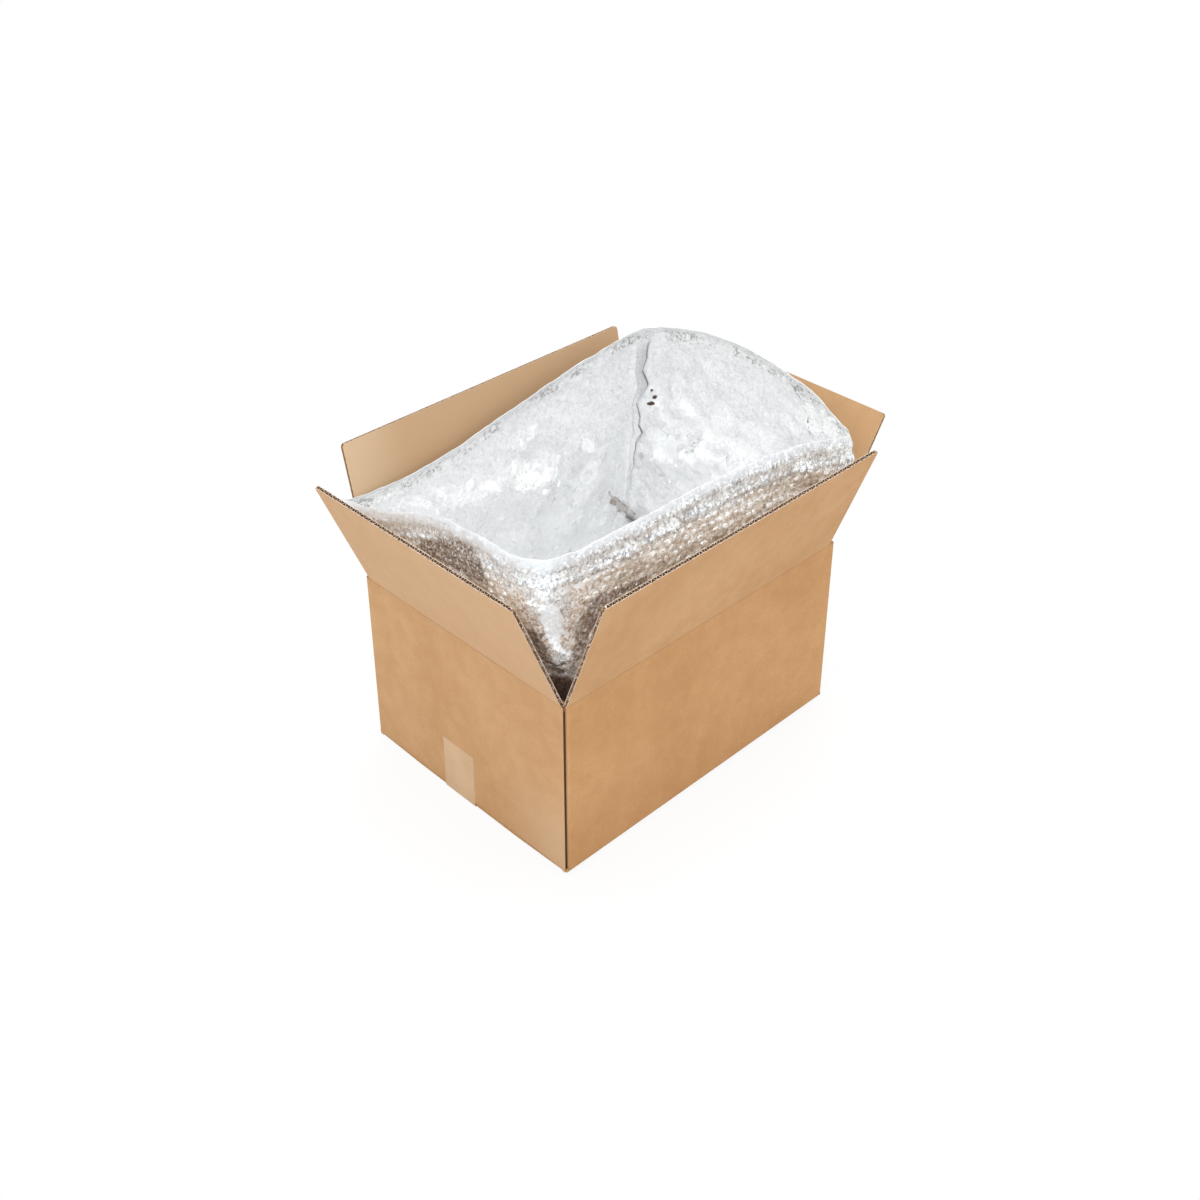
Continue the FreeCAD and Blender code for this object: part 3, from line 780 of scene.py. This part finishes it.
# browner painted shade along the hollow's rim
HOLLOW_RIM = (
    ((155, 144, 158), (161, 144, 152), 6.5), ((166, 144, 139), (178, 141, 132), 3.6),
    ((162, 144, 160), (170, 144, 150), 2.5), ((174, 144, 146), (190, 137, 126), 2.2),
)
TEARS = (           # small holes beside the fin, painted dark as the shade seen through them
    ((205, 128, 297), (204, 121, 300), 3.4), ((206, 125, 289), (204, 115, 293), 4.6),
    ((202, 129, 280), (202, 121, 283), 4.6), ((204, 122, 286), (203, 119, 285), 2.2),
)
DENT = (            # painted shade where the film is pushed in behind the left flap
    ((-210, 34, 312), (-210, 6, 324), 24), ((-210, 6, 322), (-211, -30, 332), 34),
    ((-211, -30, 326), (-213, -44, 326), 30),
)
SHADED = (          # painted shade beside the slot between the near flaps
    ((-146, -143, 304), (-160, -142, 290), 26), ((-158, -142, 296), (-172, -140, 262), 17),
    ((-146, -143, 308), (-84, -149, 304), 12), ((-203, -114, 284), (-198, -122, 256), 15),
    ((-198, -122, 256), (-188, -128, 238), 12), ((-198, -120, 258), (-187, -132, 254), 8),
)
# film painted browner either side of the near corner, for the board's reflection and the shade there
BESIDE_CORNER = (((-206, -108, 318), (-196, -122, 258), 34), ((-176, -138, 316), (-178, -139, 268), 34))
WHITE_CORNER = (    # smooth film pushed out at the near corner, painted pale as the highlight it catches
    ((-197, -128, 314), (-193, -130, 290), 20), ((-193, -130, 287), (-193, -131, 275), 12),
    ((-188, -132, 290), (-181, -135, 284), 6), ((-188, -136, 270), (-183, -139, 264), 5),
    ((-187, -132, 246), (-182, -136, 247), 7), ((-189, -124, 230), (-178, -133, 235), 2.4),
    ((-196, -120, 250), (-187, -131, 240), 2.4), ((-197, -124, 262), (-190, -132, 252), 1.8),
)
SILVER_SPOTS = (    # where the silver zone's painted streaks of reflection run down the corner
    ((-199, -119, 345), (-195, -129, 318), 40), ((-186, -132, 258), (-184, -131, 240), 24),
)
# painted highlight along a crease on the front, near the mouth
BRIGHT_CREASE = (((-184, -134, 331), (-144, -142, 337), 5.5), ((-144, -142, 337), (-80, -150, 336), 4))


def crinkled_paint(finish, grain, streaks):
    """Colour of the film's crinkles and rubs, with painted shade along its creases and folds and painted
    glints on fine crinkles.
    """
    pale, paler = (0.86, 0.867, 0.877), (0.98, 0.983, 0.986)
    paint = finish.blend(finish.span(grain, 0.4, 0.53), pale, paler)
    # Painted shade along the crinkles' creases, in patches
    crease = finish.cells(105, "DISTANCE_TO_EDGE", place=finish.warped(9, 3))
    crease_patches = finish.span(finish.noise(30, 3, 0.6), 0.4, 0.62)
    crease = finish.times(finish.span(crease, 0, 0.05, 1, 0), crease_patches, 0.4)
    paint = finish.blend(crease, paint, (0.7, 0.71, 0.72))
    paint = finish.blend(finish.span(streaks, 0.56, 0.72, 0, 0.22), paint, (0.76, 0.77, 0.78))
    # Painted grey shade in the short creases
    scribble = finish.span(finish.noise(420, 2, 0.6), 0.4, 0.56)
    crease_shade = finish.times(finish.strokes(GREY_STROKES, 7, 2), scribble)
    paint = finish.blend(crease_shade, paint, (0.3, 0.295, 0.29))
    # Painted grey shade along the long folds
    folds = finish.times(finish.strokes(BACK_FOLDS, 26, 3), 0.45)
    paint = finish.blend(folds, paint, (0.5, 0.5, 0.5))
    # Fine crinkle strokes painted grey and white, as their shade and glints
    for turn, tone in (((0.6, 0.3, 0.9), 0.76), ((1.9, 0.2, 0.4), 0.8), ((0.3, 1.3, 2.2), 1)):
        needles = finish.noise(360, 2, 0.5, place=finish.turned(rotation=turn, scale=(1, 0.42, 1)))
        paint = finish.blend(finish.span(needles, 0.61, 0.65, 0, 0.6), paint, (tone, tone, tone))
    rubs = finish.times(finish.strokes(SCRATCHES, 40, 2), finish.span(grain, 0.4, 0.55), 0.5)
    return finish.blend(rubs, paint, (0.7, 0.7, 0.71))


def printed_mouth(finish, paint, below):
    """Bubbles printing through the film along the mouth, and its lip painted darker to hold down the light
    that its top edge catches.
    """
    rings = finish.span(finish.cells(105, randomness=0.5), 0.28, 0.42)
    broken = finish.span(finish.noise(300, 3, 0.7), 0.42, 0.6)
    patchy = finish.span(finish.noise(19, 2, 0.6), 0.46, 0.58, 0.35, 1)
    marks = finish.times(finish.band(below, 4, 17, 2), finish.times(rings, broken), patchy, 0.9)
    paint = finish.blend(marks, paint, (0.38, 0.37, 0.36))
    # Painted shade on the lip of the mouth
    return finish.blend(finish.span_mm(below, 1.5, 4, 0.8, 0), paint, (0.72, 0.73, 0.74))


def seam_paint(finish, paint, grain, streaks):
    """The seam and the hollow at its foot, both in painted shade, and the small tears beside it, painted dark
    as the shade seen through them.
    """
    # Painted shade along the fin's free edge and the band beside it
    seam_shade = finish.math("MINIMUM", finish.attribute("seam_shade"), 1)
    seam = finish.times(seam_shade, finish.span(streaks, 0.2, 0.6, 0.75, 1))
    paint = finish.blend(seam, paint, (0.17, 0.165, 0.16))
    # Painted shade in the hollow at the fin's foot, and a browner shade along its rim
    hollow = finish.times(finish.strokes(FOOT_HOLLOW, 6, 2.5), finish.span(grain, 0.4, 0.55, 0.7, 0.95))
    paint = finish.blend(hollow, paint, (0.6, 0.565, 0.545))
    rim = finish.times(finish.strokes(HOLLOW_RIM, 5, 2), finish.span(grain, 0.42, 0.52, 0.3, 0.85))
    paint = finish.blend(rim, paint, (0.36, 0.27, 0.21))
    # The tears, painted dark as the shade seen through them
    return finish.blend(finish.strokes(TEARS, 4, 1.6), paint, (0.075, 0.035, 0.02))


def foil_inside():
    """Smooth side of the metallised film: nearly white and finely crinkled, with glossy faces."""
    finish = Finish("foil_inside")
    warped = finish.warped(16, 3)
    grain = finish.noise(300, 5, 0.8, place=warped)
    streaks = finish.noise(210, 4, 0.7, place=finish.turned(rotation=(0.4, 0.9, 0.3), scale=(1, 0.35, 1)))
    below = finish.attribute("below")
    paint = crinkled_paint(finish, grain, streaks)
    # Painted light: paler deep in the bag, for the light bouncing down into it
    paint = finish.blend(finish.span_mm(below, 110, 200, 0, 0.75), paint, (0.994, 0.997, 1))
    paint = printed_mouth(finish, paint, below)
    finish.give("Base Color", seam_paint(finish, paint, grain, streaks))
    # Glossy faces lie back far enough to catch the light
    gloss = finish.strokes(GLOSS_PATCHES, 16, 3, 0.02, 9)
    finish.give("Metallic", finish.between(gloss, 0.22, 0.95))
    finish.give("Roughness", finish.between(gloss, 0.3, 0.22))
    wild = finish.span(finish.noise(17, 2, 0.5), 0.45, 0.62, 0.02, 0.09)
    crinkled = finish.plus(finish.facets(21, wild, warped), finish.facets(7, 0.1, warped),
                           finish.facets(3.4, 0.2, finish.warped(6, 1.5)))
    leaning = finish.plus(finish.times(finish.axes()[2], -0.9), finish.facets(9, 0.1, warped))
    finish.two_reliefs(gloss, crinkled, leaning)
    return finish.material


def film_zones(finish, curls):
    """Where each kind of film, and each painted shade and highlight, lies on the outside: 1 inside its zone
    and 0 outside it.
    """
    x, y, z = finish.axes()
    wander = finish.times(finish.minus(finish.noise(40, 3, 0.6), 0.5), 22 * MM)
    fray = finish.times(finish.minus(curls, 0.5), 26 * MM)
    below = finish.plus(finish.attribute("below"), wander)
    left = finish.span_mm(x, -200, -186, 1, 0)
    frayed = finish.minus(finish.plus(below, fray), finish.times(left, 5 * MM))
    hem = finish.span_mm(frayed, 5.5, 7, 1, 0)
    brown = finish.times(finish.span_mm(below, 29, 38),
                         finish.minus(1, finish.strokes(SILVER_SPOTS, 12, 6)))
    dent_shade = finish.times(finish.strokes(DENT, 12, 4), finish.minus(1, hem))
    shaded = finish.times(finish.strokes(SHADED, 10, 4), 0.85)
    corner = finish.strokes(WHITE_CORNER, 9, 2, 0.02, 3.6)
    crease = finish.strokes(BRIGHT_CREASE, 20, 2)
    # Painted shade low at the near corner, in the slot between the flaps
    pit_shade = finish.times(finish.span_mm(finish.plus(z, wander), 225, 234, 1, 0),
                       finish.span_mm(finish.plus(x, y), -260, -190, 1, 0))
    return left, hem, brown, dent_shade, shaded, corner, crease, pit_shade


def bubble_paint(finish, glint, curls, zones):
    """Tones of the film's outside: pale at the mouth, then silver with painted streaks of reflection, then
    tan as the board's painted reflection, with painted shade and highlights.
    """
    left, hem, brown, dent_shade, shaded, corner, crease, pit_shade = zones
    grain = finish.noise(420, 4, 0.7)
    streaks = finish.noise(330, 3, 0.7, place=finish.turned(scale=(1, 1, 0.5)))
    # The hem's white is painted cool to undo the board's warm bounce; on the left wall (left) the zones are
    # painted lighter and cooler still, standing in for the light the left flap keeps off
    white = finish.blend(finish.span(grain, 0.4, 0.6), (0.63, 0.66, 0.69), (0.77, 0.8, 0.83))
    white = finish.blend(left, white, (0.78, 0.835, 0.885))
    # Silver zone: painted streaks of light and dark, as reflections
    silver = finish.blend(left, (0.5, 0.53, 0.57), (0.64, 0.7, 0.77))
    silver = finish.blend(finish.span(streaks, 0.38, 0.52), silver, (0.92, 0.97, 1))
    # Tan zone: the board's reflection in the film, painted as a tan, with curls painted lighter as highlights
    tan = finish.blend(left, (0.79, 0.72, 0.66), (0.9, 0.85, 0.82))
    tan = finish.blend(finish.span(curls, 0.42, 0.53), tan, (0.96, 1, 1))
    # Painted browner beside the near corner, for the board's reflection and the shade there
    beside = finish.strokes(BESIDE_CORNER, 12, 5, 0.35)
    deeper = finish.blend(finish.span(curls, 0.45, 0.56), (0.6, 0.5, 0.42), (0.9, 0.92, 0.94))
    # Painted highlight: the bubbles' glints are painted near-white
    tan = finish.blend(glint, finish.blend(beside, tan, deeper), (0.98, 0.99, 1))
    paint = finish.blend(hem, finish.blend(brown, silver, tan), white)
    # Painted shade in the dent and beside the slot
    shade = finish.blend(finish.span(curls, 0.46, 0.62), (0.25, 0.2, 0.17), (0.7, 0.67, 0.65))
    paint = finish.blend(finish.most(finish.times(dent_shade, 0.85), shaded), paint, shade)
    # Painted highlight on the smooth film pushed out at the near corner
    pushed = finish.blend(finish.span(grain, 0.4, 0.55), (0.74, 0.78, 0.82), (0.86, 0.89, 0.92))
    paint = finish.blend(corner, paint, pushed)
    # Painted highlight along the bright crease
    paint = finish.blend(crease, paint, (0.9, 0.92, 0.93))
    # Painted shade low in the slot at the near corner
    return finish.blend(pit_shade, paint, (0.21, 0.15, 0.12))


def bubble_gloss(finish, glint, curls, zones):
    """Gloss and relief of the outside: curls and pushed-out film lean back and catch the light."""
    left, hem, brown, dent_shade, shaded, corner, crease, pit_shade = zones
    share = finish.between(left, 0.45, 1)
    curled = finish.span(curls, finish.between(left, 0.5, 0.44), 0.56, 0, share)
    curled = finish.times(curled, finish.minus(1, finish.most(hem, pit_shade, shaded, finish.times(dent_shade, 0.5))))
    lit = finish.most(corner, crease, curled)
    smooth = finish.most(hem, lit)
    shine = finish.between(brown, finish.between(left, 0.3, 0.08), finish.between(glint, 0.1, 0.75))
    finish.give("Metallic", finish.between(lit, finish.between(smooth, shine, 0.15), 0.35))
    finish.give("Roughness", finish.between(smooth, finish.between(glint, 0.26, 0.16), 0.36))
    tilt = finish.between(smooth, finish.between(brown, 0.38, 0.3), 0.12)
    tilt = finish.times(tilt, finish.between(glint, 1, 0.25))
    crinkled = finish.plus(finish.facets(5, tilt, finish.warped(9, 1.5)),
                           finish.facets(1.8, tilt, finish.place))
    leaning = finish.plus(finish.times(finish.axes()[2], -0.6), finish.facets(3.6, 0.16, finish.warped(9, 2)))
    finish.two_reliefs(lit, crinkled, leaning)


def bubble_side(finish, glint):
    """Dress the film's outside, glint being 1 where a bubble shines."""
    curls = finish.noise(300, 3, 0.65, place=finish.warped(5, 2.5))
    zones = film_zones(finish, curls)
    finish.give("Base Color", bubble_paint(finish, glint, curls, zones))
    bubble_gloss(finish, glint, curls, zones)


def foil_outside():
    """Bubble side of the film, between the bubbles."""
    finish = Finish("foil_outside")
    bubble_side(finish, 0)
    return finish.material


def foil_bubble():
    """Half-crushed bubbles, each with a glint painted near-white and made glossy on its upper side."""
    finish = Finish("foil_bubble")
    patchy = finish.span(finish.noise(160, 2, 0.6), 0.4, 0.52)
    bubble_side(finish, finish.times(finish.attribute("glint"), patchy))
    return finish.material


# ---------------------------------------- the object


def dress(node, material):
    """Give one of the frame's solids a single material."""
    mesh = nodes[node].data
    mesh.materials.clear()
    mesh.materials.append(material)


dress("carton_body", wall_board())
dress("bottom_tape", paper_tape())
bend_paper = fold_paper()
fold_height = 1.5                # height below and above the score line of two points, low and high, that are worked out and not used
for node, (body, hinge, turn, lean, ends) in FLAPS.items():
    dress(node, flap_board(node, hinge, turn, lean, ends))
    strip = fold_strip(node.replace("flap_", "fold_"), hinge, turn, lean, ends, bend_paper)
    place = Matrix.Rotation(math.radians(turn), 4, "Z")
    low = Vector(hinge) + place @ Vector((0, BOARD, -fold_height))
    leaning = Matrix.Rotation(math.radians(lean), 4, "X")
    high = Vector(hinge) + place @ (leaning @ Vector((0, BOARD, fold_height)))
    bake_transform(strip)

film = liner_film([foil_outside(), foil_inside()])
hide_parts("liner_bag")
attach(film, "carton")
bubbles = liner_bubbles(film, foil_bubble())
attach(bubbles, "carton")


# ---------------------------------------- stage

def seen_rays(tree):
    """1 for rays from the camera or off something shiny or clear, 0 for rays that bring light."""
    path = tree.nodes.new("ShaderNodeLightPath")
    seen = path.outputs["Is Camera Ray"]
    for name in ("Is Glossy Ray", "Is Transmission Ray"):
        either = tree.nodes.new("ShaderNodeMath")
        either.operation = "MAXIMUM"
        tree.links.new(seen, either.inputs[0])
        tree.links.new(path.outputs[name], either.inputs[1])
        seen = either.outputs[0]
    return seen


def pale_floor():
    """A wide floor that keeps the shadow near the object and is white further off."""
    bm = bmesh.new()
    bmesh.ops.create_grid(bm, x_segments=1, y_segments=1, size=7000)
    bmesh.ops.translate(bm, verts=bm.verts, vec=(0, 0, -0.5))
    finish = Finish("pale_floor", Base_Color=(0.9, 0.9, 0.9), Roughness=0.9, Specular_IOR_Level=0.0)
    glow = finish.add("ShaderNodeEmission", Color=(1, 1, 1))
    far = finish.span(finish.vector("LENGTH", finish.place), 0.34, 0.75, 0.88, 1.0)
    mix = finish.add("ShaderNodeMixShader")
    shares = (finish.times(seen_rays(finish.tree), far), finish.surface.outputs[0], glow.outputs[0])
    for output, socket in zip(shares, mix.inputs):
        finish.link(output, socket)
    finish.link(mix.outputs[0], finish.output.inputs["Surface"])
    floor = finished(bm, "floor", [finish.material])


def white_room(level):
    """A plain room: white where it is seen or reflected, and as bright as level where it gives light."""
    world = bpy.data.worlds.new("room")
    bpy.context.scene.world = world
    world.use_nodes = True
    tree = world.node_tree
    tree.nodes.clear()
    mix = tree.nodes.new("ShaderNodeMixShader")
    tree.links.new(seen_rays(tree), mix.inputs[0])
    for strength, socket in ((level, mix.inputs[1]), (1.0, mix.inputs[2])):
        glow = tree.nodes.new("ShaderNodeBackground")
        glow.inputs["Color"].default_value = (1, 1, 1, 1)
        glow.inputs["Strength"].default_value = strength
        tree.links.new(glow.outputs[0], socket)
    output = tree.nodes.new("ShaderNodeOutputWorld")
    tree.links.new(mix.outputs[0], output.inputs["Surface"])


def soft_box(name, place, width, height, power, tint):
    """A broad lamp turned towards the middle of the object."""
    light = bpy.data.lights.new(name, "AREA")
    light.shape, light.color = "RECTANGLE", tint
    light.size, light.size_y, light.energy = width, height, power
    lamp = bpy.data.objects.new(name, light)
    lamp.location = place
    lamp.rotation_euler = (Vector((0, 0, 0.2)) - Vector(place)).to_track_quat("-Z", "Y").to_euler()
    bpy.context.scene.collection.objects.link(lamp)


def camera():
    """Three-quarter view from above the near corner."""
    azimuth, elevation, distance = math.radians(-44.466), math.radians(31.413), 2.0683
    target = Vector((0.2397, 0.2504, 0.1050))
    back = Vector((math.sin(azimuth) * math.cos(elevation), -math.cos(azimuth) * math.cos(elevation),
                   math.sin(elevation)))
    data = bpy.data.cameras.new("camera")
    data.sensor_width, data.lens, data.shift_y = 36.0, 47.616, -0.1
    eye = bpy.data.objects.new("camera", data)
    eye.location = target + back * distance
    eye.rotation_euler = (-back).to_track_quat("-Z", "Y").to_euler()
    bpy.context.scene.collection.objects.link(eye)
    bpy.context.scene.camera = eye


pale_floor()
white_room(1.0)
soft_box("key", (-1.9, -0.9, 2.2), 1.6, 1.2, 23, (0.94, 0.98, 1.0))
soft_box("side", (1.4, -2.2, 1.5), 1.6, 1.2, 6, (1.0, 0.94, 0.86))
soft_box("top", (0.3, 0.2, 2.6), 1.2, 1.2, 30, (0.94, 0.98, 1.0))
camera()
scene = bpy.context.scene
scene.view_settings.view_transform = "Standard"
